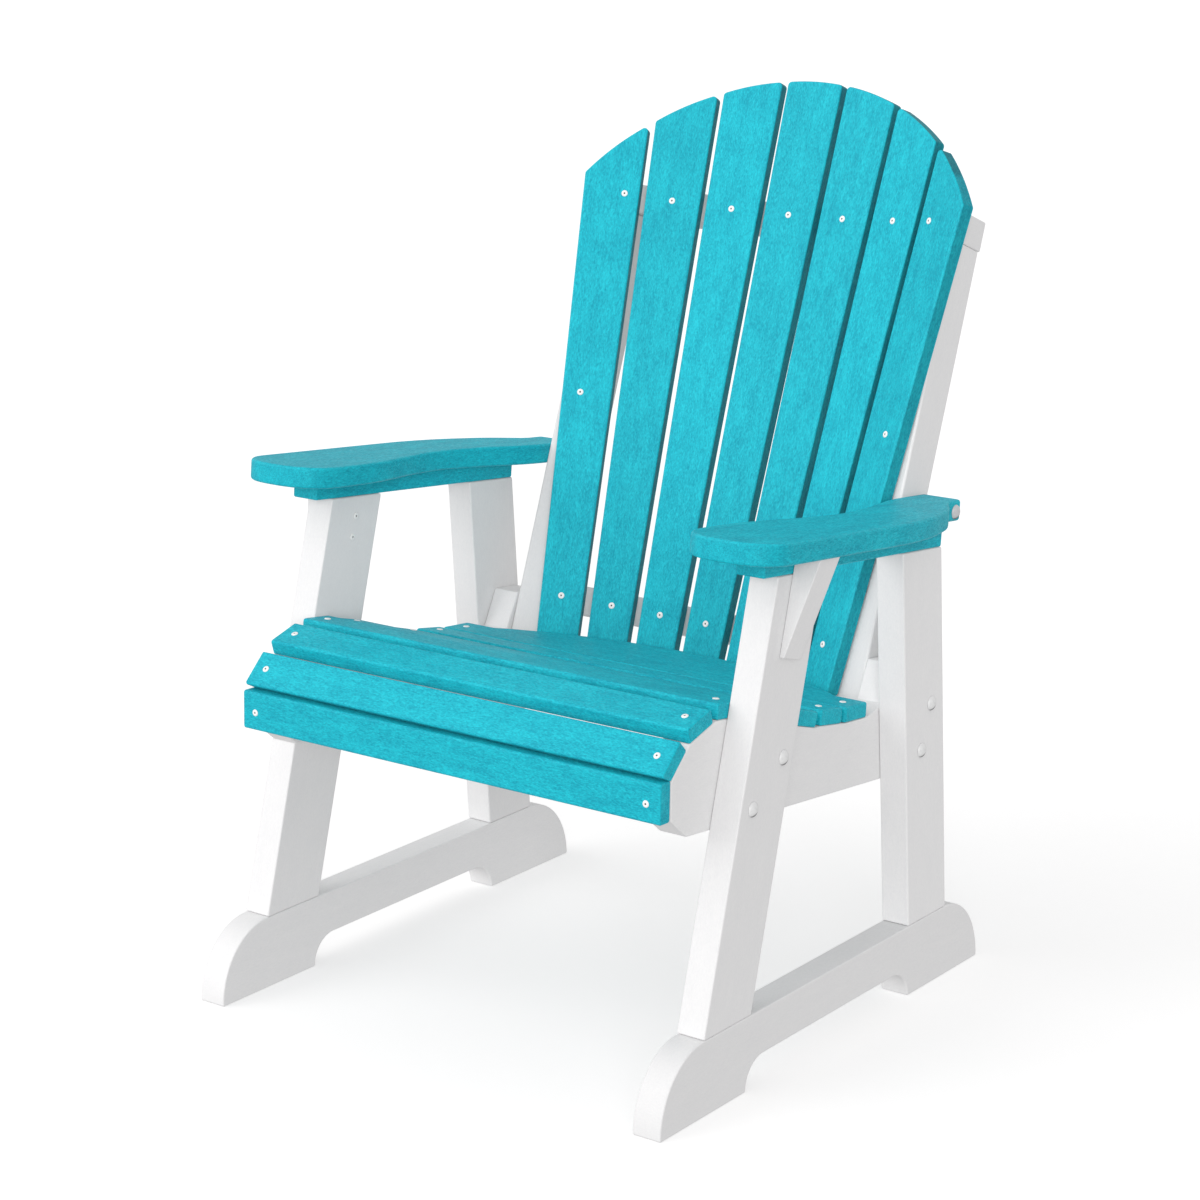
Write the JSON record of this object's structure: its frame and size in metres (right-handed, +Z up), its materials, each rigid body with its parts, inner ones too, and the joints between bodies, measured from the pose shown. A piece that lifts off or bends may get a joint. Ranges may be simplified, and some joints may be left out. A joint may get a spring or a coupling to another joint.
{
  "type": "adirondack chair",
  "caption": "Upright adirondack armchair of plastic boards with a fanned slat back, scooped slat seat, broad arms and two long floor runners.",
  "frame": {"origin": "on the floor, at the centre of the chair's bounding box seen from above", "axes": "+X to the right of a person who stands in front of the chair and faces it, +Y from the chair's front to its back, +Z up"},
  "size_m": [0.778, 0.8433, 1.0786],
  "materials": {
    "turquoise_board": "embossed fibrous grain, satin",
    "white_board": "faint embossed grain, satin",
    "white_coated_bolt": "white coated steel, smooth",
    "zinc_steel": "zinc plated"
  },
  "bodies": {
    "root": {"arm_bolt_left": "white_coated_bolt", "arm_bolt_right": "white_coated_bolt", "arm_bracket_left": "white_board", "arm_bracket_right": "white_board", "arm_left": "turquoise_board", "arm_nut_left": "zinc_steel", "arm_nut_right": "zinc_steel", "arm_right": "turquoise_board", "arm_support_left": "turquoise_board", "arm_support_right": "turquoise_board", "back_bottom_rail": "white_board", "back_slat_1": "turquoise_board", "back_slat_2": "turquoise_board", "back_slat_3": "turquoise_board", "back_slat_4": "turquoise_board", "back_slat_5": "turquoise_board", "back_slat_6": "turquoise_board", "back_slat_7": "turquoise_board", "back_top_rail": "white_board", "back_upright_left": "white_board", "back_upright_right": "white_board", "bracket_screw_left_1": "white_coated_bolt", "bracket_screw_left_2": "white_coated_bolt", "bracket_screw_right_1": "white_coated_bolt", "bracket_screw_right_2": "white_coated_bolt", "front_leg_bolt_left_1": "white_coated_bolt", "front_leg_bolt_left_2": "white_coated_bolt", "front_leg_bolt_right_1": "white_coated_bolt", "front_leg_bolt_right_2": "white_coated_bolt", "front_leg_left": "white_board", "front_leg_nut_left_1": "zinc_steel", "front_leg_nut_left_2": "zinc_steel", "front_leg_nut_right_1": "zinc_steel", "front_leg_nut_right_2": "zinc_steel", "front_leg_right": "white_board", "rear_leg_bolt_left_1": "white_coated_bolt", "rear_leg_bolt_left_2": "white_coated_bolt", "rear_leg_bolt_right_1": "white_coated_bolt", "rear_leg_bolt_right_2": "white_coated_bolt", "rear_leg_left": "white_board", "rear_leg_nut_left_1": "zinc_steel", "rear_leg_nut_left_2": "zinc_steel", "rear_leg_nut_right_1": "zinc_steel", "rear_leg_nut_right_2": "zinc_steel", "rear_leg_right": "white_board", "runner_left": "white_board", "runner_right": "white_board", "seat_apron": "turquoise_board", "seat_rail_left": "white_board", "seat_rail_right": "white_board", "seat_rear_board": "turquoise_board", "seat_slat_1": "turquoise_board", "seat_slat_2": "turquoise_board", "seat_slat_3": "turquoise_board", "seat_slat_4": "turquoise_board", "seat_slat_5": "turquoise_board", "seat_slat_6": "turquoise_board", "seat_slat_7": "turquoise_board"}
  },
  "joints": []
}
